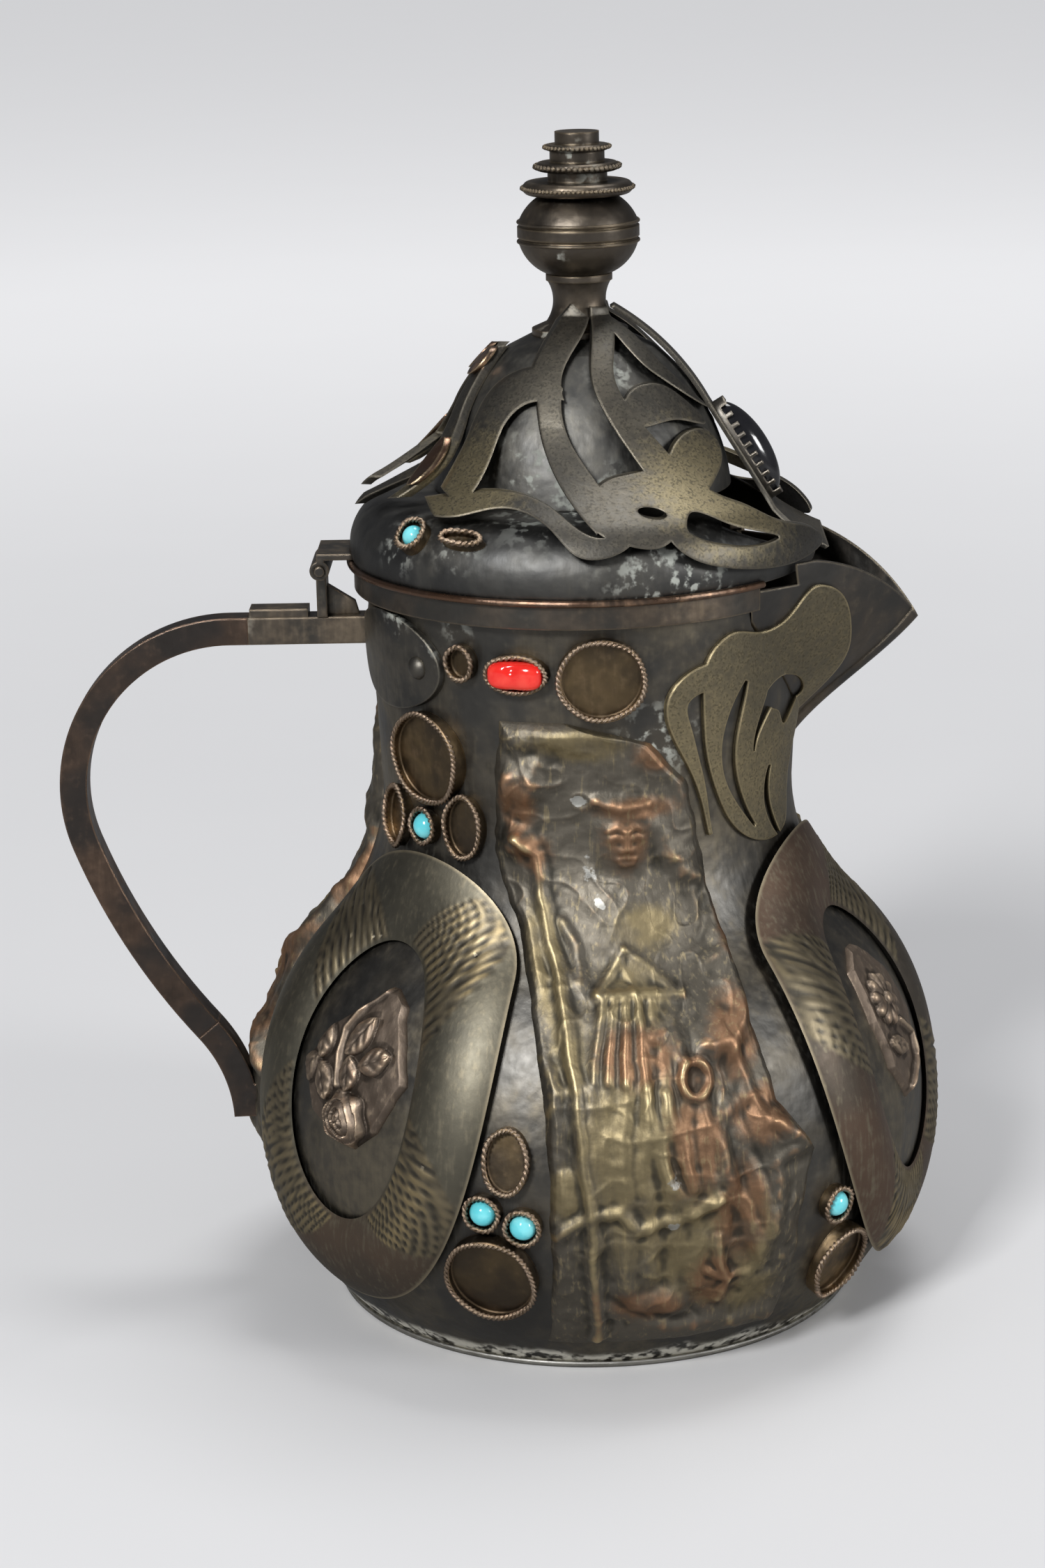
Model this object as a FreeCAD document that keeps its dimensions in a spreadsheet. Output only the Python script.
import FreeCAD, Part
import functools
import math
import os

import Sketcher
from FreeCAD import Matrix, Placement, Rotation, Vector

# Driving dimensions in millimetres and degrees. Azimuths are seen from above: 0 faces -Y, 90 the spout (+X)
# and -90 the handle. Heights are measured from the table.
SIZES = {
    # Vessel: raised pear-shaped shell on a flat base plate
    "wall": 1.4,
    "base_radius": 68.2,
    "base_thickness": 1.6,
    "foot_radius": 67.2,
    "belly_radius": 87.0,
    "belly_height": 50.0,
    "neck_radius": 52.7,
    "neck_height": 136.0,
    "shoulder_split": 0.58,
    "mouth_radius": 55.6,
    "mouth_height": 191.6,
    # Spout: folded beak, cut to a curved rim, measured down and up from the mouth
    "spout_wall": 1.2,
    "spout_root_drop": 49.6,
    "spout_root_reach": 50.5,
    "spout_root_width": 14.0,
    "spout_throat_drop": 31.6,
    "spout_throat_reach": 67.3,
    "spout_throat_width": 27.0,
    "spout_tip_drop": 15.6,
    "spout_tip_reach": 84.8,
    "spout_tip_width": 35.0,
    "spout_rim_rise": 5.2,
    "spout_keel_radius": 4.0,
    # Lid: skirt, wire, dish and dome, each measured up from the one below
    "lid_clearance": 0.3,
    "skirt_radius": 58.5,
    "skirt_wall": 1.2,
    "skirt_overlap": 4.2,
    "skirt_rise": 2.4,
    "skirt_gap_angle": 43.0,
    "flange_width": 4.2,
    "wire_diameter": 1.8,
    "dish_radius": 59.0,
    "dish_belly_rise": 7.0,
    "dish_edge_radius": 49.0,
    "dish_edge_rise": 16.8,
    "dome_radius": 37.5,
    "dome_foot_rise": 1.4,
    "dome_waist_radius": 30.5,
    "dome_waist_rise": 20.8,
    "dome_shoulder_radius": 18.5,
    "dome_shoulder_rise": 34.8,
    "dome_top_radius": 12.6,
    "dome_top_rise": 3.0,
    # Finial, turned in five pieces, each measured up from the one below
    "stem_foot_radius": 12.0,
    "stem_foot_height": 1.6,
    "stem_flare_radius": 8.4,
    "stem_flare_rise": 3.2,
    "stem_waist_radius": 6.6,
    "stem_waist_rise": 8.4,
    "stem_collar_radius": 8.3,
    "stem_collar_height": 1.7,
    "stem_length": 15.2,
    "ball_radius": 15.2,
    "ball_band_rise": 10.4,
    "ball_band_width": 3.4,
    "ball_groove": 0.7,
    "ball_length": 19.5,
    "ball_top_radius": 8.8,
    "large_disc_radius": 13.7,
    "large_disc_thickness": 3.2,
    "large_disc_neck_radius": 7.4,
    "large_disc_length": 5.7,
    "beaded_disc_radius": 10.3,
    "beaded_disc_thickness": 2.2,
    "beaded_disc_neck_radius": 6.8,
    "beaded_disc_length": 5.0,
    "small_disc_radius": 8.0,
    "small_disc_thickness": 1.5,
    "cap_radius": 5.5,
    "cap_length": 4.6,
    # Openwork of the lid: cut sheet standing off the dome, over an opening of the dish
    "sheet": 1.2,
    "vine_sheet": 2.0,
    "sheet_standoff": 1.8,
    "spine_sheet": 1.2,
    "opening_reach": 33.5,
    "opening_rise": 14.4,
    "opening_lip": 1.6,
    # Handle: square bar on a tang
    "bar_side": 7.0,
    "tang_reach": 86.0,
    "handle_drop": 15.8,
    "handle_top_reach": 91.0,
    "handle_bend": 42.0,
    "handle_back_bend": 170.0,
    "handle_foot_bend": 40.0,
    "strap_length": 15.0,
    "strap_thickness": 2.2,
    "ear_azimuth": 61.5,
    "ear_drop": 17.6,
    "ear_length": 42.0,
    "ear_width": 24.6,
    "ear_thickness": 1.6,
    "rivet_azimuth": 47.5,
    "rivet_radius": 3.4,
    # Lid hinge
    "pin_reach": 66.8,
    "pin_rise": 0.8,
    "pin_radius": 1.3,
    "pin_length": 20.0,
    "pin_fit": 0.05,
    "knuckle_radius": 2.5,
    "post_width": 8.0,
    "post_thickness": 2.6,
    "gusset_thickness": 2.0,
    "hinge_play": 0.3,
    "hinge_strap_width": 18.0,
    "hinge_strap_thickness": 1.6,
    # Ornament on the pot
    "panel_thickness": 1.2,
    "panel_front_azimuth": 11.0,
    "panel_back_azimuth": 131.0,
    "panel_handle_azimuth": -109.0,
    "oval_left_azimuth": -47.0,
    "oval_right_azimuth": 70.5,
    "oval_back_azimuth": 191.0,
    "oval_height": 71.5,
    "oval_width": 82.0,
    "oval_length": 109.0,
    "oval_opening_width": 44.0,
    "oval_opening_length": 66.0,
    "oval_thickness": 4.2,
    "plaque_thickness": 1.5,
    "plaque_boss": 3.6,
    "cup_depth": 2.8,
    "cup_wall": 0.9,
    "cup_floor": 0.8,
    "turquoise_radius": 3.4,
    "coral_length": 14.0,
    "coral_width": 7.2,
    # Onyx on the lid
    "onyx_length": 29.0,
    "onyx_width": 12.0,
    "onyx_height": 6.0,
    "onyx_centre_reach": 40.4,
    "onyx_centre_rise": 7.5,
    "onyx_tilt": 58.4,
    "claw_wall": 0.8,
    "claw_floor": 0.9,
    "claw_depth": 3.2,
    "claw_teeth": 9,
}

Z_AXIS = Vector(0, 0, 1)

doc = FreeCAD.newDocument("Dallah")
sheet = doc.addObject("Spreadsheet::Sheet", "Sizes")
for row, (name, number) in enumerate(SIZES.items(), start=1):
    sheet.set("A%d" % row, name)
    sheet.set("B%d" % row, str(number))
    sheet.setAlias("B%d" % row, name)
doc.recompute()


class Length:
    """A length that holds its value and the sheet formula that the value comes from."""

    def __init__(self, value, formula):
        self.value = value
        self.formula = formula

    @staticmethod
    def of(number):
        return number if isinstance(number, Length) else Length(float(number), repr(float(number)))

    def combined(self, other, value, sign):
        return Length(value, "(%s %s %s)" % (self.formula, sign, other.formula))

    def __add__(self, other):
        other = Length.of(other)
        return self.combined(other, self.value + other.value, "+")

    def __sub__(self, other):
        other = Length.of(other)
        return self.combined(other, self.value - other.value, "-")

    def __mul__(self, other):
        other = Length.of(other)
        return self.combined(other, self.value * other.value, "*")


class Named:
    """The sheet's cells as attributes."""


mm = Named()
bound = Named()
for name in SIZES:
    setattr(bound, name, Length(float(sheet.get(name)), "Sizes." + name))

# Heights above the table that follow from the sizes
bound.spout_root_height = bound.mouth_height - bound.spout_root_drop
bound.spout_throat_height = bound.mouth_height - bound.spout_throat_drop
bound.spout_tip_height = bound.mouth_height - bound.spout_tip_drop
bound.spout_rim_height = bound.mouth_height + bound.spout_rim_rise
bound.skirt_bottom = bound.mouth_height - bound.skirt_overlap
bound.skirt_top = bound.mouth_height + bound.skirt_rise
bound.dish_belly_height = bound.skirt_top + bound.dish_belly_rise
bound.dish_edge_height = bound.skirt_top + bound.dish_edge_rise
bound.dome_foot_height = bound.dish_edge_height + bound.dome_foot_rise
bound.dome_waist_height = bound.dome_foot_height + bound.dome_waist_rise
bound.dome_shoulder_height = bound.dome_foot_height + bound.dome_shoulder_rise
bound.dome_top_height = bound.dome_shoulder_height + bound.dome_top_rise
bound.stem_flare_height = bound.dome_top_height + bound.stem_flare_rise
bound.stem_waist_height = bound.dome_top_height + bound.stem_waist_rise
bound.ball_bottom_height = bound.dome_top_height + bound.stem_length
bound.ball_band_height = bound.ball_bottom_height + bound.ball_band_rise
bound.ball_top_height = bound.ball_bottom_height + bound.ball_length
bound.beaded_disc_height = bound.ball_top_height + bound.large_disc_length
bound.small_disc_height = bound.beaded_disc_height + bound.beaded_disc_length
bound.pot_height = bound.small_disc_height + bound.cap_length
bound.onyx_centre_height = bound.dome_foot_height + bound.onyx_centre_rise
bound.handle_height = bound.mouth_height - bound.handle_drop
bound.ear_height = bound.mouth_height - bound.ear_drop
bound.pin_height = bound.mouth_height + bound.pin_rise

for name, length in vars(bound).items():
    setattr(mm, name, length.value)

pieces = []


def built(label, shape):
    """A piece whose shape is worked out from the sheet's values."""
    piece = doc.addObject("Part::Feature", label)
    piece.Shape = shape
    pieces.append(piece)
    return piece


def turned(label, outline):
    """A lathe-turned piece: a closed outline of corners (radius, height), revolved about the pot's axis.

    A third entry on a corner is the point that the rounded edge leading to it passes through.
    """
    body = doc.addObject("PartDesign::Body", label)
    plane = next(f for f in body.Origin.OriginFeatures if f.Role == "XZ_Plane")
    sketch = body.newObject("Sketcher::SketchObject", label + "_outline")
    sketch.AttachmentSupport = [(plane, "")]
    sketch.MapMode = "FlatFace"

    def hold(geometry, position, corner):
        for kind, length in zip(("DistanceX", "DistanceY"), corner):
            length = Length.of(length)
            if kind == "DistanceX" and length.value == 0:
                sketch.addConstraint(Sketcher.Constraint("PointOnObject", geometry, position, -2))
                continue
            number = sketch.addConstraint(
                Sketcher.Constraint(kind, -1, 1, geometry, position, length.value)
            )
            sketch.setExpression("Constraints[%d]" % number, length.formula)

    def place(corner):
        return Vector(Length.of(corner[0]).value, Length.of(corner[1]).value, 0)

    ends = []
    for start, end in zip(outline, outline[1:] + outline[:1]):
        if len(end) == 3:
            edge = sketch.addGeometry(Part.Arc(place(start), place(end[2]), place(end)))
            through = sketch.addGeometry(Part.Point(place(end[2])), True)
            hold(through, 1, end[2])
            sketch.addConstraint(Sketcher.Constraint("PointOnObject", through, 1, edge))
        else:
            edge = sketch.addGeometry(Part.LineSegment(place(start), place(end)))
        forward = sketch.getPoint(edge, 1).distanceToPoint(place(start)) < 1e-6
        ends.append((edge, (1, 2) if forward else (2, 1)))
    for (edge, order), (following, next_order), corner in zip(
        ends, ends[1:] + ends[:1], outline[1:] + outline[:1]
    ):
        sketch.addConstraint(
            Sketcher.Constraint("Coincident", edge, order[1], following, next_order[0])
        )
        hold(following, next_order[0], corner[:2])
    turn = body.newObject("PartDesign::Revolution", label + "_turned")
    turn.Profile = sketch
    turn.ReferenceAxis = (sketch, ["V_Axis"])
    turn.Angle = 360
    pieces.append(body)
    return body, turn


# Working surfaces: every piece of ornament is cut from a layer that follows the pot or the lid


def upright_arc(upright, other):
    """Arc between two points of the outline that is upright at the first of them."""
    run, rise = upright.x - other.x, upright.z - other.z
    radius = (run * run + rise * rise) / (2 * abs(run))
    half = math.asin(abs(rise) / radius) / 2
    shift = Vector(-math.copysign(radius * (1 - math.cos(half)), run), 0, 0)
    drop = Vector(0, 0, -math.copysign(radius * math.sin(half), rise))
    return Part.Arc(upright, upright + shift + drop, other).toShape()


def pear(extra):
    """Solid pear of the vessel's outer form, with every radius larger by extra."""
    foot = Vector(mm.foot_radius + extra, 0, mm.base_thickness)
    belly = Vector(mm.belly_radius + extra, 0, mm.belly_height)
    neck = Vector(mm.neck_radius + extra, 0, mm.neck_height)
    mouth = Vector(mm.mouth_radius + extra, 0, mm.mouth_height)
    shoulder = belly + (neck - belly) * mm.shoulder_split
    low, high = Vector(0, 0, foot.z), Vector(0, 0, mouth.z)
    outline = Part.Wire(
        [
            Part.LineSegment(low, foot).toShape(),
            upright_arc(belly, foot),
            upright_arc(belly, shoulder),
            upright_arc(neck, shoulder),
            Part.LineSegment(neck, mouth).toShape(),
            Part.LineSegment(mouth, high).toShape(),
            Part.LineSegment(high, low).toShape(),
        ]
    )
    return Part.Face(outline).revolve(Vector(), Z_AXIS, 360)


POT = pear(0)


@functools.cache
def pot_radius(height):
    """The vessel's outer radius at a height."""
    return POT.slice(Z_AXIS, height)[0].BoundBox.XMax


def around(azimuth):
    """Placement of a drawing sheet on the pot's axis: drawn x runs round the pot, y up, z out."""
    turn = Rotation(Z_AXIS, azimuth).multiply(Rotation(Vector(1, 0, 0), 90))
    return Placement(Vector(), turn)


def outward(azimuth):
    angle = math.radians(azimuth)
    return Vector(math.sin(angle), -math.cos(angle), 0)


def raised(face, azimuth, inner, outer):
    """The part of the layer between two solids that lies behind a drawn face."""
    drawn = face.copy()
    drawn.Placement = around(azimuth).multiply(face.Placement)
    column = drawn.extrude(outward(azimuth) * (2 * mm.belly_radius))
    return column.common(outer).cut(inner)


def curve(points):
    line = Part.BSplineCurve()
    line.interpolate([Vector(u, v, 0) for u, v in points])
    return line.toShape()


def closed_curve(points):
    line = Part.BSplineCurve()
    line.interpolate(Points=[Vector(u, v, 0) for u, v in points], PeriodicFlag=True)
    return Part.Face(Part.Wire(line.toShape()))


def polygon(points):
    return Part.Face(Part.makePolygon([Vector(u, v, 0) for u, v in points + points[:1]]))


def oval(u, v, width, length, lean=0.0):
    """Drawn ellipse with its width across and its length up, leaning by an angle."""
    turn = Placement(Vector(u, v, 0), Rotation(Z_AXIS, lean))
    long_side, short_side = max(width, length) / 2, min(width, length) / 2
    shape = Part.Ellipse(Vector(), long_side, short_side).toShape()
    if length > width:
        shape.rotate(Vector(), Z_AXIS, 90)
    face = Part.Face(Part.Wire(shape))
    face.Placement = turn.multiply(face.Placement)
    return face


def strip(points):
    """Drawn strip along points (x, y, width), with smooth edges and square ends."""
    left, right = [], []
    for index, (u, v, width) in enumerate(points):
        before = points[max(index - 1, 0)]
        after = points[min(index + 1, len(points) - 1)]
        along = Vector(after[0] - before[0], after[1] - before[1], 0).normalize()
        across = Vector(-along.y, along.x, 0) * (width / 2)
        left.append((u + across.x, v + across.y))
        right.append((u - across.x, v - across.y))
    edges = [
        curve(left),
        Part.LineSegment(Vector(*left[-1], 0), Vector(*right[-1], 0)).toShape(),
        curve(right[::-1]),
        Part.LineSegment(Vector(*right[0], 0), Vector(*left[0], 0)).toShape(),
    ]
    return Part.Face(Part.Wire(edges))


def joined(faces):
    """One flat drawing from overlapping drawn faces, joined as slabs so that no seam stays in it."""
    slabs = [face.extrude(Z_AXIS) for face in faces]
    slab = slabs[0].multiFuse(slabs[1:]).removeSplitter()
    undersides = [face for face in slab.Faces if face.BoundBox.ZMax < 0.5]
    return undersides[0].multiFuse(undersides[1:]) if len(undersides) > 1 else undersides[0]


def mirrored(shape):
    """The same piece on the far side of the pot."""
    return shape.mirror(Vector(), Vector(0, 1, 0))


# Spout: four level sections of the beak, lofted, hollowed and cut to the rim


def beak(inset):
    """Solid beak, drawn in on all sides by inset."""
    back = mm.neck_radius - 12
    sections = []
    above = mm.spout_rim_height + 2
    slope = (mm.spout_tip_reach - mm.spout_throat_reach) / (mm.spout_tip_height - mm.spout_throat_height)
    for height, reach, width in (
        (mm.spout_root_height, mm.spout_root_reach, mm.spout_root_width),
        (mm.spout_throat_height, mm.spout_throat_reach, mm.spout_throat_width),
        (mm.spout_tip_height, mm.spout_tip_reach, mm.spout_tip_width),
        (above, mm.spout_tip_reach + slope * 7, mm.spout_tip_width + 5),
    ):
        nose = reach - inset * 1.3
        half = width - inset * 1.3
        keel = mm.spout_keel_radius
        side = Vector(nose - keel, keel * 0.9, height)
        root = Vector(back, half, height)
        low_side, low_root = Vector(side.x, -side.y, height), Vector(root.x, -root.y, height)
        sections.append(
            Part.Wire(
                [
                    Part.LineSegment(low_root, low_side).toShape(),
                    Part.Arc(low_side, Vector(nose, 0, height), side).toShape(),
                    Part.LineSegment(side, root).toShape(),
                    Part.LineSegment(root, low_root).toShape(),
                ]
            )
        )
    return Part.makeLoft(sections, True, False)


def rim_cutter():
    """Everything above the spout's curved rim."""
    reach, top = mm.spout_tip_reach, mm.spout_rim_height
    fall = top - mm.spout_tip_height
    start = Vector(mm.skirt_radius - 1.5, 0, top)
    middle = Vector(reach - 10.8, 0, top - 0.38 * fall)
    end = Vector(reach + 1.2, 0, mm.spout_tip_height - 1.5)
    far = Vector(reach + 40, 0, end.z)
    lid = Vector(far.x, 0, top + 60)
    rear = Vector(0, 0, top + 60)
    low = Vector(0, 0, top)
    outline = Part.Wire(
        [
            Part.LineSegment(low, start).toShape(),
            Part.Arc(start, middle, end).toShape(),
            Part.LineSegment(end, far).toShape(),
            Part.LineSegment(far, lid).toShape(),
            Part.LineSegment(lid, rear).toShape(),
            Part.LineSegment(rear, low).toShape(),
        ]
    )
    face = Part.Face(outline)
    face.translate(Vector(0, -100, 0))
    return face.extrude(Vector(0, 200, 0))


LID_ROOM = Part.makeCylinder(
    mm.skirt_radius + mm.wire_diameter + mm.lid_clearance, 80, Vector(0, 0, mm.mouth_height - 0.1)
)
RIM = rim_cutter()
CHANNEL = beak(mm.spout_wall)

vessel = POT.cut(pear(-mm.wall)).cut(CHANNEL)
built("vessel_body", vessel)

turned(
    "base_plate",
    [
        (0, 0),
        (bound.base_radius - bound.base_thickness * 0.4, 0),
        (bound.base_radius, bound.base_thickness * 0.4),
        (bound.base_radius, bound.base_thickness),
        (0, bound.base_thickness),
    ],
)

spout = beak(0).cut(CHANNEL).cut(POT).cut(RIM).cut(LID_ROOM)
spout = max(spout.Solids, key=lambda solid: solid.Volume)
built("spout", spout)


# Spout plates: one sheet on each side, with flame-shaped slots and a loose strand, over the neck and the beak

PLATE_AZIMUTH, PLATE_MOUTH_HEIGHT = 42.0, 191.6
plate_outline = closed_curve(
    [
        (26, 190.5),
        (34, 186),
        (38.5, 178),
        (41.5, 168),
        (33, 153),
        (25, 141),
        (23, 129),
        (13, 126.5),
        (2, 131),
        (-5.2, 141.7),
        (-9.2, 154),
        (-10.4, 166.7),
        (-9.5, 176.7),
        (-2.5, 182.5),
        (8, 181),
        (17, 184),
    ]
)
plate_strand = strip(
    [(-6, 171.5, 8), (-13, 171.6, 6.4), (-17.2, 167.5, 5.4), (-16.4, 160.5, 5)]
    + [(-13.4, 153, 3.6), (-10.4, 145, 2.2), (-8.8, 139, 1.4), (-7.4, 132, 1)]
)
plate_slots = [
    strip(
        [(3.2, 169.5, 1.2), (0.2, 163, 4.2), (-2.2, 153, 4.8)]
        + [(-1.2, 146, 4), (2.2, 139, 2.4), (7.8, 131.2, 0.8)]
    ),
    closed_curve(
        [(12.1, 165.5), (16.5, 167.2), (22.6, 167), (28.4, 164.2), (31, 160.5)]
        + [(27, 157.5), (20.1, 155), (17.7, 158.6), (13.4, 160.8)]
    ),
    strip([(13.4, 163.4, 4.4), (10.2, 159, 2.8), (7.9, 155, 1.6), (6.9, 150.7, 0.7)]),
    strip([(14, 145.5, 1.2), (12.8, 140, 2.2), (14.2, 133.6, 2.4), (19.2, 125.4, 0.8)]),
]
plate_face = joined([plate_outline, plate_strand]).cut(joined(plate_slots))
plate_face.translate(Vector(0, mm.mouth_height - PLATE_MOUTH_HEIGHT, 0))


def clothed(extra):
    """The neck and the beak together, with a skin of a thickness."""
    return pear(extra).fuse(beak(-extra * 0.8).cut(RIM).cut(LID_ROOM))


spout_plate = raised(plate_face, PLATE_AZIMUTH, clothed(0), clothed(mm.sheet))
built("spout_plate_near", spout_plate)
built("spout_plate_far", mirrored(spout_plate))


# Embossed panels: thin sheets down the belly and up the neck


def panel_outline(top):
    """Drawn outline of a panel, cut level at a height."""
    edges = [
        curve([(-30.5, 163.5), (-22, 165), (-12, 162.5), (-4, 160.5), (6, 157.5), (15, 147), (17, 134)]),
        curve([(17, 134), (21.5, 114), (26, 92), (31, 72), (41, 58)]),
        curve([(41, 58), (37.5, 50), (36, 34), (31, 12)]),
        curve([(31, 12), (2, 9.5), (-26, 12)]),
        curve([(-26, 12), (-27.5, 45), (-27.8, 80), (-27.2, 102), (-28.6, 115), (-32.4, 134), (-30.5, 163.5)]),
    ]
    waste = polygon([(-80, top), (80, top), (80, top + 100), (-80, top + 100)])
    return Part.Face(Part.Wire(edges)).cut(waste)


# Swellings beaten into the panels: middle across and up, half width, half height, lean and rise
SWELLINGS = [
    (-4, 72, 14, 24, 0, 3.2),
    (1, 113, 13, 13, 0, 2.2),
    (-1.8, 134.5, 7, 10, 0, 3.2),
    (10.5, 132, 5, 13, 12, 2.4),
    (24, 103, 6, 14, 8, 2.6),
    (16, 87.5, 7, 5, 20, 2.4),
    (11, 61, 7, 14, 0, 2.6),
    (29, 64.5, 10, 5, -25, 2.4),
    (25, 45, 6, 14, 0, 2.2),
    (-15, 160.6, 13, 4, 0, 1.4),
    (-25, 148.5, 6, 5.5, 0, 2.2),
    (-7, 36, 5, 11, 0, 1.6),
    (11.5, 37, 5, 11, 0, 1.6),
    (-1, 25.5, 7, 4, 0, 2.0),
]


def swelling(u, v):
    """Rise of the beaten work at a drawn place."""
    total = 0.0
    for middle_u, middle_v, half_width, half_height, lean, rise in SWELLINGS:
        turn = math.radians(lean)
        across = (u - middle_u) * math.cos(turn) + (v - middle_v) * math.sin(turn)
        along = (v - middle_v) * math.cos(turn) - (u - middle_u) * math.sin(turn)
        total += (rise * math.exp(-(((across / half_width) ** 2 + (along / half_height) ** 2) ** 1.5))) ** 2
    return math.sqrt(total)


def on_pot(u, v, lift):
    """Point over the pot at azimuth 0, at a drawn place and a lift from the metal."""
    radius = pot_radius(v) + lift
    return Vector(u, -math.sqrt(radius * radius - u * u), v)


EMBOSS_STEP = 4.0
skin = pear(mm.panel_thickness)
beaten_rows = []
for row in range(43):
    height = 4 + row * EMBOSS_STEP
    places = [-38 + column * EMBOSS_STEP for column in range(22)]
    beaten_rows.append([on_pot(u, height, mm.panel_thickness + swelling(u, height)) for u in places])
beaten = Part.BSplineSurface()
beaten.interpolate(beaten_rows)
beaten = beaten.toShape().extrude(Vector(0, mm.belly_radius / 2, 0))
for label, azimuth, top in (
    ("relief_panel_front", mm.panel_front_azimuth, mm.mouth_height),
    ("relief_panel_back", mm.panel_back_azimuth, mm.neck_height - 16),
    ("relief_panel_handle", mm.panel_handle_azimuth, mm.ear_height - mm.ear_width / 2 - 3),
):
    panel = raised(panel_outline(top), 0, POT, beaten).rotated(Vector(), Z_AXIS, azimuth)
    built(label, panel)


# Oval frames: half-round rings round a bare medallion


FRAME_STATIONS = 14
stations = []
for station in range(FRAME_STATIONS):
    angle = 2 * math.pi * station / FRAME_STATIONS
    across, rise = math.cos(angle) / 2, math.sin(angle) / 2
    inner = on_pot(mm.oval_opening_width * across, mm.oval_height + mm.oval_opening_length * rise, -0.8)
    outer = on_pot(mm.oval_width * across, mm.oval_height + mm.oval_length * rise, -0.8)
    crown = on_pot(
        (mm.oval_opening_width + mm.oval_width) / 2 * across,
        mm.oval_height + (mm.oval_opening_length + mm.oval_length) / 2 * rise,
        mm.oval_thickness,
    )
    stations.append(
        Part.Wire([Part.Arc(inner, crown, outer).toShape(), Part.LineSegment(outer, inner).toShape()])
    )
oval_frame = Part.makeLoft(stations, True, False, True).cut(POT)
for label, azimuth in (
    ("oval_frame_left", mm.oval_left_azimuth),
    ("oval_frame_right", mm.oval_right_azimuth),
    ("oval_frame_back", mm.oval_back_azimuth),
):
    ring = oval_frame.copy()
    ring.rotate(Vector(), Z_AXIS, azimuth)
    built(label, ring)


# Plaques: small copper sheets with a raised flower, on the bare medallions

plaque_skin = pear(mm.plaque_thickness)
boss_skin = pear(mm.plaque_boss)
rose_sheet = polygon([(-0.4, 94.7), (9, 94.5), (19, 75.9), (9.5, 58.3), (-20, 69.9)])
daisy_sheet = polygon([(-9, 95), (4, 95.5), (13, 80), (3, 60), (-13, 71)])
for label, azimuth, outline, flower in (
    ("rose_plaque_left", mm.oval_left_azimuth, rose_sheet, oval(1.9, 64.9, 11, 11)),
    ("rose_plaque_back", mm.oval_back_azimuth, rose_sheet, oval(1.9, 64.9, 11, 11)),
    ("daisy_plaque_right", mm.oval_right_azimuth, daisy_sheet, oval(-4.5, 83.4, 10, 10)),
):
    plaque = raised(outline, azimuth, POT, plaque_skin)
    built(label, plaque.fuse(raised(flower, azimuth, POT, boss_skin)))


# Settings: oval cups with a floor and a wall, seated square on the metal


def radius_of(form, height):
    """Outer radius of a turned form at a height."""
    return form.slice(Z_AXIS, height)[0].BoundBox.XMax


def seat(form, azimuth, height):
    """Placement on a turned form: z points out of the metal, y up along it."""
    slope = radius_of(form, height + 0.5) - radius_of(form, height - 0.5)
    out = outward(azimuth)
    upward = out * slope + Z_AXIS
    sideways = Vector(-out.y, out.x, 0)
    turn = Rotation(sideways, upward, sideways.cross(upward), "ZXY")
    return Placement(out * radius_of(form, height) + Z_AXIS * height, turn)


def prism(width, length, lean, bottom, top):
    """Upright oval block between two levels."""
    face = oval(0, 0, width, length, lean)
    face.translate(Vector(0, 0, bottom))
    return face.extrude(Vector(0, 0, top - bottom))


def cup(form, azimuth, height, width, length, lean=0.0):
    """Empty setting for a stone."""
    block = prism(width, length, lean, -4, mm.cup_depth)
    hollow = prism(width - 2 * mm.cup_wall, length - 2 * mm.cup_wall, lean, mm.cup_floor, 10)
    setting = block.cut(hollow)
    setting.Placement = seat(form, azimuth, height)
    return setting.cut(form)


def stone(form, azimuth, height, width, length, rise, lean=0.0):
    """Domed stone on the floor of its setting."""
    dome = Part.makeSphere(1, Vector(), Z_AXIS, 0, 90, 360)
    scale = Matrix()
    scale.scale(width / 2, length / 2, rise)
    dome = dome.transformGeometry(scale)
    dome.Placement = Placement(Vector(0, 0, mm.cup_floor), Rotation(Z_AXIS, lean))
    dome.Placement = seat(form, azimuth, height).multiply(dome.Placement)
    return dome


# Round the mouth the same row stands on both sides of the pot; on the neck the group over the left oval
# is repeated over the back one
back_turn = mm.oval_back_azimuth - mm.oval_left_azimuth
for label, azimuth, drop, width, length in (
    ("mouth_ring_cups", -32.6, 14.3, 8.3, 9.2),
    ("coral_cups", -17.3, 15.8, 16, 10),
    ("mouth_round_cups", 3.9, 17.1, 21.5, 20.7),
):
    near = cup(POT, azimuth, mm.mouth_height - drop, width, length)
    built(label, Part.makeCompound([near, mirrored(near)]))
coral = stone(POT, -17.3, mm.mouth_height - 15.8, mm.coral_length, mm.coral_width, 4.4)
built("corals", Part.makeCompound([coral, mirrored(coral)]))
for label, azimuth, rise, width, length in (
    ("neck_round_cups", -46.4, 15, 23.5, 23.5),
    ("neck_left_cups", -62.1, -3.2, 12, 16),
    ("neck_turquoise_cups", -48.7, -3.2, 9.5, 9.5),
    ("neck_right_cups", -34.5, -1.2, 11.5, 16.4),
):
    near = cup(POT, azimuth, mm.neck_height + rise, width, length)
    built(label, Part.makeCompound([near, near.rotated(Vector(), Z_AXIS, back_turn)]))
turquoise_width = 2 * mm.turquoise_radius
bead = stone(POT, -48.7, mm.neck_height - 3.2, turquoise_width, turquoise_width, mm.turquoise_radius)
built("neck_turquoises", Part.makeCompound([bead, bead.rotated(Vector(), Z_AXIS, back_turn)]))

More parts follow.
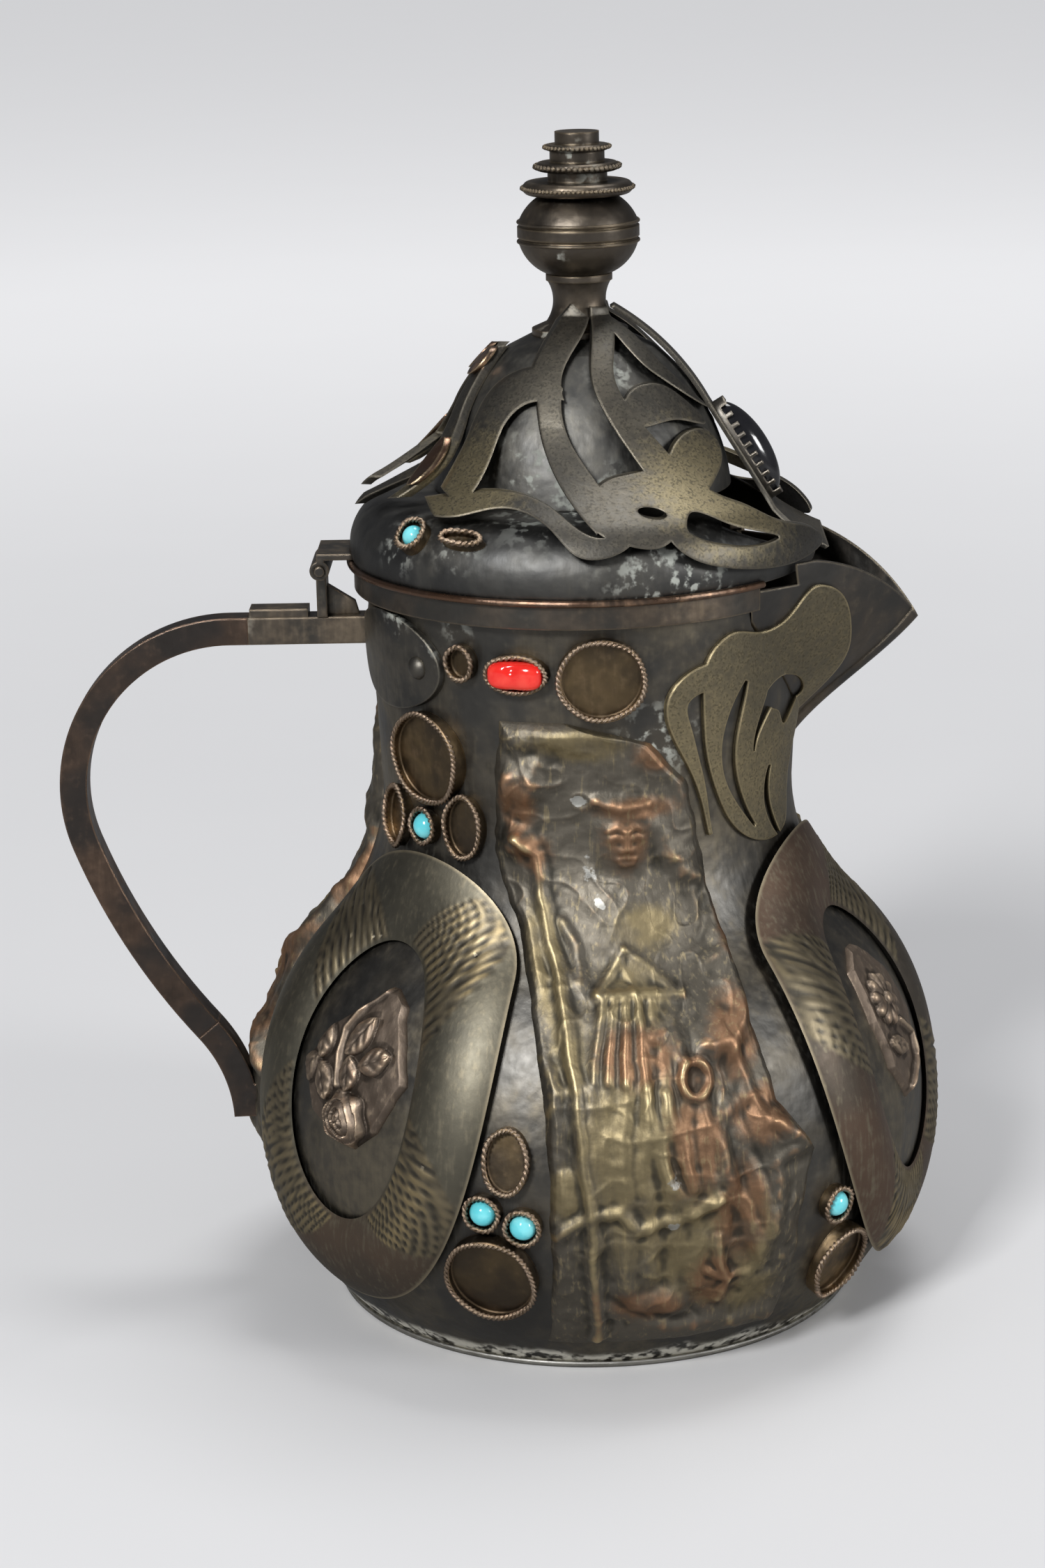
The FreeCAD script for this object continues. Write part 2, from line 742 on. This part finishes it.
# Low on the belly a group of four cups stands before each panel and a group of two behind the first two
before = [0, mm.panel_back_azimuth - mm.panel_front_azimuth, mm.panel_handle_azimuth - mm.panel_front_azimuth]
behind = before[:2]
turquoise_places = [(-17.9, 48.9, before), (-11.4, 46.1, before), (43, 42.2, behind)]
for label, azimuth, height, width, length, turns in (
    ("belly_oval_cups", -14.0, 62, 11.6, 17, before),
    ("belly_round_cups", -17.3, 31.1, 23, 24, before),
    ("belly_side_cups", 47, 24.1, 18, 22, behind),
):
    first = cup(POT, azimuth, height, width, length)
    built(label, Part.makeCompound([first.rotated(Vector(), Z_AXIS, turn) for turn in turns]))
cups, beads = [], []
for azimuth, height, turns in turquoise_places:
    first = cup(POT, azimuth, height, 9.5, 9.5)
    bead = stone(POT, azimuth, height, turquoise_width, turquoise_width, mm.turquoise_radius)
    cups += [first.rotated(Vector(), Z_AXIS, turn) for turn in turns]
    beads += [bead.rotated(Vector(), Z_AXIS, turn) for turn in turns]
built("belly_turquoise_cups", Part.makeCompound(cups))
built("belly_turquoises", Part.makeCompound(beads))


# Ears: plates on the neck on both sides of the handle, with a domed rivet each

ear_skin = pear(mm.ear_thickness)
ear = raised(oval(0, mm.ear_height, mm.ear_length, mm.ear_width), -mm.ear_azimuth, POT, ear_skin)
built("ear_near", ear)
built("ear_far", mirrored(ear))
rivet_place = outward(-mm.rivet_azimuth) * pot_radius(mm.ear_height) + Z_AXIS * mm.ear_height
rivet = Part.makeSphere(mm.rivet_radius, rivet_place).cut(ear_skin)
built("ear_rivets", Part.makeCompound([rivet, mirrored(rivet)]))


# Handle: a square bar bent in three arcs from the tang to the belly

half_bar = mm.bar_side / 2
tang = Part.makeBox(
    mm.tang_reach, mm.bar_side, mm.bar_side, Vector(-mm.tang_reach, -half_bar, mm.handle_height - half_bar)
)
built("handle_tang", tang.cut(POT).Solids[0])


def bend(centre, radius, first, last):
    """Arc in the pot's middle plane from one angle to another."""
    def place(degrees):
        angle = math.radians(degrees)
        return centre + Vector(radius * math.cos(angle), 0, radius * math.sin(angle))

    return Part.Arc(place(first), place((first + last) / 2), place(last)).toShape(), place(last)


def square_bar(path, at, along):
    """Square bar swept down a path that starts at a point in a direction."""
    side = Vector(0, half_bar, 0)
    rise = along.cross(Vector(0, 1, 0)).normalize() * half_bar
    corners = [at + side + rise, at - side + rise, at - side - rise, at + side - rise]
    section = Part.makePolygon(corners + corners[:1])
    return Part.Wire(path).makePipeShell([section], True, False)


start = Vector(-mm.tang_reach, 0, mm.handle_height)
bend_start = Vector(-mm.handle_top_reach, 0, mm.handle_height)
centre = bend_start - Z_AXIS * mm.handle_bend
top_arc, join = bend(centre, mm.handle_bend, 90, 200)
toward = (centre - join).normalize()
back_arc, low = bend(join + toward * mm.handle_back_bend, mm.handle_back_bend, 200, 220)
toward = Vector(math.cos(math.radians(40)), 0, math.sin(math.radians(40)))
foot_arc, end = bend(low - toward * mm.handle_foot_bend, mm.handle_foot_bend, 40, 2)
bar_path = [Part.LineSegment(start, bend_start).toShape(), top_arc, back_arc]
built("handle_bar", square_bar(bar_path, start, Vector(-1, 0, 0)))
foot = square_bar([foot_arc], low, Vector(math.sin(math.radians(40)), 0, -math.cos(math.radians(40))))
pad = Part.makeBox(30, mm.bar_side, 9, Vector(end.x, -half_bar, end.z))
foot = foot.fuse(pad).cut(skin).cut(panel)
built("handle_foot", max(foot.Solids, key=lambda solid: solid.Volume))
strap = doc.addObject("Part::Box", "handle_strap")
strap.setExpression("Length", "Sizes.strap_length")
strap.setExpression("Width", "Sizes.bar_side")
strap.setExpression("Height", "Sizes.strap_thickness")
strap.setExpression("Placement.Base.x", "-Sizes.tang_reach + 0.5")
strap.setExpression("Placement.Base.y", "-Sizes.bar_side / 2")
strap.setExpression("Placement.Base.z", bound.handle_height.formula + " + Sizes.bar_side / 2")
pieces.append(strap)


# Hinge: a post with an eye on the tang, a gusset behind it, the pin and the lid's strap

pin_at = Vector(-mm.pin_reach, 0, mm.pin_height)
bore = mm.pin_radius + mm.pin_fit
tang_top = mm.handle_height + half_bar


def barrel(radius, from_y, to_y):
    """Cylinder along the hinge's axis."""
    return Part.makeCylinder(radius, to_y - from_y, pin_at + Vector(0, from_y, 0), Vector(0, 1, 0))


half_post = mm.post_width / 2
post = Part.makeBox(
    mm.post_thickness,
    mm.post_width,
    mm.pin_height - tang_top,
    Vector(pin_at.x - mm.post_thickness / 2, -half_post, tang_top),
)
post = post.fuse(barrel(mm.knuckle_radius, -half_post, half_post))
built("hinge_post", post.cut(barrel(bore, -half_post - 1, half_post + 1)).removeSplitter())

gusset_x = pin_at.x + mm.post_thickness / 2
gusset = Part.Face(
    Part.makePolygon(
        [
            Vector(gusset_x, -mm.gusset_thickness / 2, tang_top),
            Vector(gusset_x + 8, -mm.gusset_thickness / 2, tang_top),
            Vector(gusset_x + 7, -mm.gusset_thickness / 2, tang_top + 3.5),
            Vector(gusset_x, -mm.gusset_thickness / 2, tang_top + 8),
            Vector(gusset_x, -mm.gusset_thickness / 2, tang_top),
        ]
    )
)
built("hinge_gusset", gusset.extrude(Vector(0, mm.gusset_thickness, 0)))

pin = doc.addObject("Part::Cylinder", "hinge_pin")
pin.setExpression("Radius", "Sizes.pin_radius")
pin.setExpression("Height", "Sizes.pin_length")
pin.Placement.Rotation = Rotation(Vector(1, 0, 0), 90)
pin.setExpression("Placement.Base.x", "-Sizes.pin_reach")
pin.setExpression("Placement.Base.y", "Sizes.pin_length / 2")
pin.setExpression("Placement.Base.z", bound.pin_height.formula)
pieces.append(pin)


# Lid: skirt open towards the spout, wire, dish and dome

skirt_body, skirt_turn = turned(
    "lid_skirt",
    [
        (bound.skirt_radius - bound.skirt_wall, bound.skirt_bottom),
        (bound.skirt_radius, bound.skirt_bottom),
        (bound.skirt_radius, bound.skirt_top),
        (bound.skirt_radius - bound.skirt_wall, bound.skirt_top),
        (bound.skirt_radius - bound.skirt_wall, bound.mouth_height + bound.lid_clearance + bound.skirt_wall),
        (
            bound.skirt_radius - bound.skirt_wall - bound.flange_width,
            bound.mouth_height + bound.lid_clearance + bound.skirt_wall,
        ),
        (bound.skirt_radius - bound.skirt_wall - bound.flange_width, bound.mouth_height + bound.lid_clearance),
        (bound.skirt_radius - bound.skirt_wall, bound.mouth_height + bound.lid_clearance),
    ],
)
skirt_turn.Midplane = True
skirt_turn.setExpression("Angle", "360 - 2 * Sizes.skirt_gap_angle")
skirt_body.Placement.Rotation = Rotation(Z_AXIS, 180)

wire = doc.addObject("Part::Torus", "lid_wire")
wire.setExpression("Radius1", "Sizes.skirt_radius + Sizes.wire_diameter / 2")
wire.setExpression("Radius2", "Sizes.wire_diameter / 2")
wire.setExpression("Angle3", "360 - 2 * Sizes.skirt_gap_angle")
wire.Placement.Rotation = Rotation(Z_AXIS, mm.skirt_gap_angle)
wire.setExpression("Placement.Base.z", bound.skirt_top.formula)
pieces.append(wire)

dish_wall = bound.skirt_wall
dish_body, dish_turn = turned(
    "lid_dish",
    [
        (bound.skirt_radius, bound.skirt_top),
        (
            bound.dish_edge_radius,
            bound.dish_edge_height,
            (bound.dish_radius, bound.dish_belly_height),
        ),
        (bound.dome_radius - 1, bound.dome_foot_height),
        (bound.dome_radius - 1, bound.dome_foot_height - dish_wall),
        (bound.dish_edge_radius - dish_wall * 0.5, bound.dish_edge_height - dish_wall),
        (
            bound.skirt_radius - dish_wall,
            bound.skirt_top,
            (bound.dish_radius - dish_wall, bound.dish_belly_height - dish_wall * 0.5),
        ),
    ],
)

# Towards the spout the dish is cut open on a slope, which the openwork bridges
slope_sketch = dish_body.newObject("Sketcher::SketchObject", "dish_opening")
slope_sketch.AttachmentSupport = [
    (next(f for f in dish_body.Origin.OriginFeatures if f.Role == "XZ_Plane"), "")
]
slope_sketch.MapMode = "FlatFace"
opening_out = bound.dish_radius + bound.flange_width
opening_top = bound.dome_foot_height + bound.opening_lip
opening_corners = [
    (bound.opening_reach, bound.skirt_top + bound.opening_rise),
    (opening_out, bound.skirt_top + bound.opening_lip),
    (opening_out, opening_top),
    (bound.opening_reach, opening_top),
]
for start, end in zip(opening_corners, opening_corners[1:] + opening_corners[:1]):
    slope_sketch.addGeometry(
        Part.LineSegment(*[Vector(reach.value, height.value, 0) for reach, height in (start, end)])
    )
for side, (reach, height) in enumerate(opening_corners):
    slope_sketch.addConstraint(Sketcher.Constraint("Coincident", (side - 1) % 4, 2, side, 1))
    for kind, length in (("DistanceX", reach), ("DistanceY", height)):
        number = slope_sketch.addConstraint(Sketcher.Constraint(kind, -1, 1, side, 1, length.value))
        slope_sketch.setExpression("Constraints[%d]" % number, length.formula)
dish_opening = dish_body.newObject("PartDesign::Pocket", "dish_opened")
dish_opening.Profile = slope_sketch
dish_opening.Midplane = True
dish_opening.Type = "ThroughAll"
turned(
    "lid_dome",
    [
        (bound.dome_radius, bound.dome_foot_height),
        (
            bound.dome_shoulder_radius,
            bound.dome_shoulder_height,
            (bound.dome_waist_radius, bound.dome_waist_height),
        ),
        (bound.dome_top_radius, bound.dome_top_height),
        (0, bound.dome_top_height),
        (0, bound.dome_top_height - dish_wall),
        (bound.dome_top_radius - dish_wall * 0.5, bound.dome_top_height - dish_wall),
        (bound.dome_shoulder_radius - dish_wall, bound.dome_shoulder_height - dish_wall * 0.5),
        (
            bound.dome_radius - dish_wall,
            bound.dome_foot_height,
            (bound.dome_waist_radius - dish_wall, bound.dome_waist_height - dish_wall * 0.2),
        ),
    ],
)


# Finial: five turned pieces, one on the other

turned(
    "finial_stem",
    [
        (0, bound.dome_top_height),
        (bound.stem_foot_radius, bound.dome_top_height),
        (bound.stem_foot_radius, bound.dome_top_height + bound.stem_foot_height),
        (bound.stem_flare_radius, bound.stem_flare_height),
        (
            bound.stem_collar_radius - 0.3,
            bound.ball_bottom_height - bound.stem_collar_height,
            (bound.stem_waist_radius, bound.stem_waist_height),
        ),
        (bound.stem_collar_radius, bound.ball_bottom_height - bound.stem_collar_height),
        (bound.stem_collar_radius, bound.ball_bottom_height),
        (0, bound.ball_bottom_height),
    ],
)
band_low = bound.ball_band_height - bound.ball_band_width * 0.5
band_high = bound.ball_band_height + bound.ball_band_width * 0.5
groove_radius = bound.ball_radius - bound.ball_groove
turned(
    "finial_ball",
    [
        (0, bound.ball_bottom_height),
        (bound.stem_collar_radius - 0.3, bound.ball_bottom_height),
        (
            bound.ball_radius - 0.2,
            band_low - 0.4,
            (
                bound.ball_radius * 0.85,
                bound.ball_bottom_height * 0.64 + bound.ball_band_height * 0.36,
            ),
        ),
        (groove_radius, band_low),
        (bound.ball_radius, band_low + 0.4),
        (bound.ball_radius, band_high - 0.4),
        (groove_radius, band_high),
        (bound.ball_radius - 0.2, band_high + 0.4),
        (
            bound.ball_top_radius,
            bound.ball_top_height,
            (
                bound.ball_radius * 0.875,
                bound.ball_top_height * 0.59 + bound.ball_band_height * 0.41,
            ),
        ),
        (0, bound.ball_top_height),
    ],
)


def disc(label, bottom, radius, thickness, neck_radius, top):
    """Rounded disc with a narrower neck on it."""
    turned(
        label,
        [
            (0, bottom),
            (radius - thickness * 0.4, bottom),
            (radius - thickness * 0.4, bottom + thickness, (radius, bottom + thickness * 0.5)),
            (neck_radius, bottom + thickness),
            (neck_radius, top),
            (0, top),
        ],
    )


disc(
    "finial_large_disc",
    bound.ball_top_height,
    bound.large_disc_radius,
    bound.large_disc_thickness,
    bound.large_disc_neck_radius,
    bound.beaded_disc_height,
)
disc(
    "finial_beaded_disc",
    bound.beaded_disc_height,
    bound.beaded_disc_radius,
    bound.beaded_disc_thickness,
    bound.beaded_disc_neck_radius,
    bound.small_disc_height,
)
disc(
    "finial_cap",
    bound.small_disc_height,
    bound.small_disc_radius,
    bound.small_disc_thickness,
    bound.cap_radius,
    bound.pot_height,
)


# Openwork of the lid: cut brass sheet that stands off the dome, drawn on the near side and mirrored


def lid_form(extra):
    """Solid form under the openwork, larger by extra."""
    out, up = mm.sheet_standoff + 0.8 * extra, 0.6 * extra
    low = Vector(mm.dish_radius + out - 0.2, 0, mm.skirt_top + 1.5)
    side = Vector(mm.dish_radius + out - 0.8, 0, mm.dish_belly_height + 3 + up)
    edge = Vector(mm.dish_edge_radius + out + 2.6, 0, mm.dish_edge_height + 1.2 + up)
    foot = Vector(mm.dome_radius + out + 4, 0, mm.dome_foot_height + 6.6 + up)
    waist = Vector(mm.dome_waist_radius + out, 0, mm.dome_waist_height - 2.4 + up)
    shoulder = Vector(mm.dome_shoulder_radius + out + 1, 0, mm.dome_shoulder_height - 2.3 + up)
    flare = Vector(mm.stem_flare_radius + out - 1.6, 0, mm.stem_flare_height + 1.4 + up)
    top = Vector(mm.stem_waist_radius + out - 1.4, 0, mm.stem_waist_height + 1 + up)
    axis_low, axis_top = Vector(0, 0, low.z), Vector(0, 0, top.z)
    edges = [
        Part.LineSegment(axis_low, low).toShape(),
        Part.Arc(low, side, edge).toShape(),
        Part.Arc(edge, foot, waist).toShape(),
        Part.Arc(waist, shoulder, flare).toShape(),
        Part.LineSegment(flare, top).toShape(),
        Part.LineSegment(top, axis_top).toShape(),
        Part.LineSegment(axis_top, axis_low).toShape(),
    ]
    return Part.Face(Part.Wire(edges)).revolve(Vector(), Z_AXIS, 360)


UNDER, OVER = lid_form(0), lid_form(mm.vine_sheet)
NEAR_AZIMUTH, REAR_AZIMUTH, VINE_SKIRT_TOP = 10.0, -75.0, 194.0


def drawn(face):
    """A face of the openwork's drawing at the height of the skirt."""
    face.translate(Vector(0, mm.skirt_top - VINE_SKIRT_TOP, 0))
    return face


vines = joined(
    [
        strip([(-1.5, 257, 5), (-7, 250.6, 5.4), (-11.6, 244.4, 6), (-13, 239, 8)]),
        strip(
            [(-12.5, 241, 8), (-18.8, 239.8, 6), (-24.8, 234.3, 5)]
            + [(-29.3, 226.5, 4.8), (-34, 220, 4.6), (-38, 216, 3.6)]
        ),
        strip([(-12, 241, 6), (-12.8, 234, 5.4), (-11.6, 226.6, 6.6), (-8, 218.8, 8), (-4, 212.5, 7)]),
        strip(
            [(3.4, 257.5, 4.6), (2.6, 250, 5.6), (1, 243, 5.6), (3.6, 235, 6), (8.5, 227.5, 7), (13, 221, 8)]
        ),
        closed_curve(
            [(-7.4, 213.4), (-2.6, 220.3), (4.6, 221.8), (16.2, 220.5)]
            + [(14.8, 213.1), (10.1, 207.8), (-3.3, 209.1)]
        ),
        closed_curve(
            [(9, 211), (16, 203.8), (24, 200.9), (33, 199.1), (42, 198.2), (50, 198.7), (55, 200.6)]
            + [(52.6, 203.6), (41.3, 208.4), (32.7, 212.8), (25.3, 216), (19, 219.6), (12, 217)]
        ),
        strip(
            [(-43, 213.8, 2.4), (-37, 215, 3.4), (-25, 216.8, 3.2), (-17, 213.8, 4)]
            + [(-11, 208.4, 5.4), (-6, 207.6, 4.5), (0, 210.5, 5)]
        ),
        closed_curve(
            [(5, 236), (7.3, 239.3), (12.8, 240.6), (20.6, 237.1)]
            + [(27, 229.8), (19.5, 231.8), (12.1, 231.5), (6, 232.6)]
        ),
        closed_curve(
            [(14, 222.5), (17.9, 227.6), (22.9, 229.2), (28.8, 226.9), (29.9, 223.4), (25.7, 218.6), (21.5, 216.4)]
        ),
        closed_curve([(4.6, 256), (11.5, 251), (17.6, 244), (29, 232.8), (15.5, 241.8), (9, 248)]),
    ]
)
openings = joined(
    [
        oval(7.5, 214, 7, 2.2, -10),
        closed_curve(
            [(15.4, 211.4), (17, 213.4), (20.5, 212.9), (28, 209.6)]
            + [(39.7, 205), (33.9, 204.4), (24.4, 206), (16.8, 208.8)]
        ),
    ]
)
near = raised(drawn(vines.cut(openings)), NEAR_AZIMUTH, UNDER, OVER)
built("openwork_near", near)
built("openwork_far", mirrored(near))

rear_vines = joined(
    [
        strip([(-3.2, 247, 4), (0.4, 239, 5.4), (5.2, 230, 4.8), (11, 222, 4.4), (12.6, 214, 3)]),
        strip([(10.5, 221.5, 4.4), (4, 217.5, 3.5), (-3, 211.5, 3.2)]),
    ]
)
rear = raised(drawn(rear_vines), REAR_AZIMUTH, UNDER, OVER)
built("openwork_rear_near", rear)
built("openwork_rear_far", mirrored(rear))
COPPER = lid_form(mm.vine_sheet + 1.2)
for label, outline in (
    ("copper_discs", oval(-1.8, 244.5, 6.6, 6.6)),
    ("copper_leaves", oval(11.5, 222.5, 4.6, 12, 32)),
):
    near = raised(drawn(outline), REAR_AZIMUTH, OVER, COPPER)
    built(label, Part.makeCompound([near, mirrored(near)]))

# Spine: a strip bent from the stem to the spout, straight under the onyx

tray_turn = Rotation(Vector(0, 1, 0), mm.onyx_tilt)
tray_middle = Vector(mm.onyx_centre_reach, 0, mm.onyx_centre_height)
tray_half = tray_turn.multVec(Vector(mm.onyx_length / 2 + 0.7, 0, 0))
spine_top = Vector(mm.stem_waist_radius + 2, 0, mm.dome_top_height + 7.4)
spine_tip = Vector(mm.dish_radius + 2.2, 0, mm.skirt_top + 4.1)
spine_high, spine_low = tray_middle - tray_half, tray_middle + tray_half
spine_edges = [
    Part.Arc(spine_top, (spine_top + spine_high) * 0.5 + Vector(3.1, 0, 0), spine_high).toShape(),
    Part.LineSegment(spine_high, spine_low).toShape(),
    Part.Arc(spine_low, (spine_low + spine_tip) * 0.5 - Vector(1.2, 0, 0), spine_tip).toShape(),
]
inward = tray_turn.multVec(Vector(0, 0, -mm.spine_sheet))
inner_edges = [edge.translated(inward) for edge in spine_edges]
spine_ends = [Part.LineSegment(end, end + inward).toShape() for end in (spine_top, spine_tip)]
side_view = Part.Face(Part.Wire(Part.__sortEdges__(spine_edges + inner_edges + spine_ends)))
side_view.translate(Vector(0, -mm.dish_radius, 0))
slab = side_view.extrude(Vector(0, 2 * mm.dish_radius, 0))
spine = strip(
    [
        (0, spine_top.z + 0.4, 5),
        (0, mm.dome_shoulder_height - 2, 8),
        (0, spine_high.z, 11.5),
        (0, tray_middle.z, 13),
        (0, spine_low.z, 18),
        (0, spine_low.z - 4, 26),
        (0, spine_tip.z - 1, 34),
    ]
)
built("openwork_spine", raised(spine, 90, Part.makeSphere(1), slab))


# Onyx: a long stone in a toothed tray on the spine

tray_place = Placement(tray_middle, tray_turn)
tray = prism(mm.onyx_length, mm.onyx_width, 0, 0, mm.claw_depth)
tray = tray.cut(
    prism(mm.onyx_length - 2 * mm.claw_wall, mm.onyx_width - 2 * mm.claw_wall, 0, mm.claw_floor, 20)
)
pitch = mm.onyx_length / (mm.claw_teeth + 1)
for tooth in range(int(mm.claw_teeth)):
    gap_at = (tooth + 1) * pitch - mm.onyx_length / 2
    gap_corner = Vector(gap_at - pitch * 0.33, -20, mm.claw_floor + 0.4)
    tray = tray.cut(Part.makeBox(pitch * 0.66, 40, 20, gap_corner))
tray.Placement = tray_place
built("onyx_claw", tray)
onyx = Part.makeSphere(1, Vector(), Z_AXIS, 0, 90, 360)
scale = Matrix()
scale.scale(
    mm.onyx_length / 2 - mm.claw_wall - 0.1, mm.onyx_width / 2 - mm.claw_wall - 0.1, mm.onyx_height
)
onyx = onyx.transformGeometry(scale)
onyx.Placement = tray_place.multiply(Placement(Vector(0, 0, mm.claw_floor), Rotation()))
built("onyx_stone", onyx)


# Lid settings: a turquoise and an empty oval cup on each side of the dish

dish_form = Part.Face(
    Part.Wire(
        [
            Part.LineSegment(Vector(0, 0, mm.skirt_top), Vector(mm.skirt_radius, 0, mm.skirt_top)).toShape(),
            Part.Arc(
                Vector(mm.skirt_radius, 0, mm.skirt_top),
                Vector(mm.dish_radius, 0, mm.dish_belly_height),
                Vector(mm.dish_edge_radius, 0, mm.dish_edge_height),
            ).toShape(),
            Part.LineSegment(
                Vector(mm.dish_edge_radius, 0, mm.dish_edge_height), Vector(0, 0, mm.dish_edge_height)
            ).toShape(),
            Part.LineSegment(Vector(0, 0, mm.dish_edge_height), Vector(0, 0, mm.skirt_top)).toShape(),
        ]
    )
).revolve(Vector(), Z_AXIS, 360)
for label, shape in (
    ("lid_turquoise_cups", cup(dish_form, -46.3, mm.dish_edge_height - 4.3, 8.8, 8.8)),
    ("lid_turquoises", stone(dish_form, -46.3, mm.dish_edge_height - 4.3, 5.6, 5.6, 2.8)),
    ("lid_oval_cups", cup(dish_form, -30.9, mm.dish_edge_height - 3.8, 12, 4.5)),
):
    built(label, Part.makeCompound([shape, mirrored(shape)]))

strap_half = mm.hinge_strap_width / 2
knuckle_start = half_post + mm.hinge_play
strap_top = mm.skirt_top + mm.wire_diameter / 2 + 0.2
plate = Part.makeBox(
    mm.knuckle_radius + 7.5,
    mm.hinge_strap_width,
    mm.hinge_strap_thickness,
    Vector(pin_at.x - 0.7, -strap_half, strap_top),
)
hinge_strap = plate
for from_y in (-strap_half, knuckle_start):
    to_y = from_y + strap_half - knuckle_start
    riser = Part.makeBox(
        2, to_y - from_y, strap_top - pin_at.z + 0.2, Vector(pin_at.x - 0.7, from_y, pin_at.z)
    )
    hinge_strap = hinge_strap.fuse(barrel(mm.knuckle_radius, from_y, to_y)).fuse(riser)
hinge_strap = hinge_strap.cut(barrel(bore, -strap_half - 1, strap_half + 1)).cut(dish_form)
built("hinge_strap", hinge_strap.removeSplitter())

# Finish: every piece is checked and written under its own name

doc.recompute()
for item in doc.Objects:
    if "Invalid" in item.State or "Error" in item.State:
        raise RuntimeError("%s did not recompute: %s" % (item.Label, item.State))
for piece in pieces:
    if piece.Shape.isNull() or not piece.Shape.isValid() or not piece.Shape.Solids:
        raise RuntimeError("%s has no valid solid" % piece.Label)
os.makedirs("parts", exist_ok=True)
for piece in pieces:
    piece.Shape.exportStep("parts/%s.step" % piece.Label)
print("%d pieces written" % len(pieces))
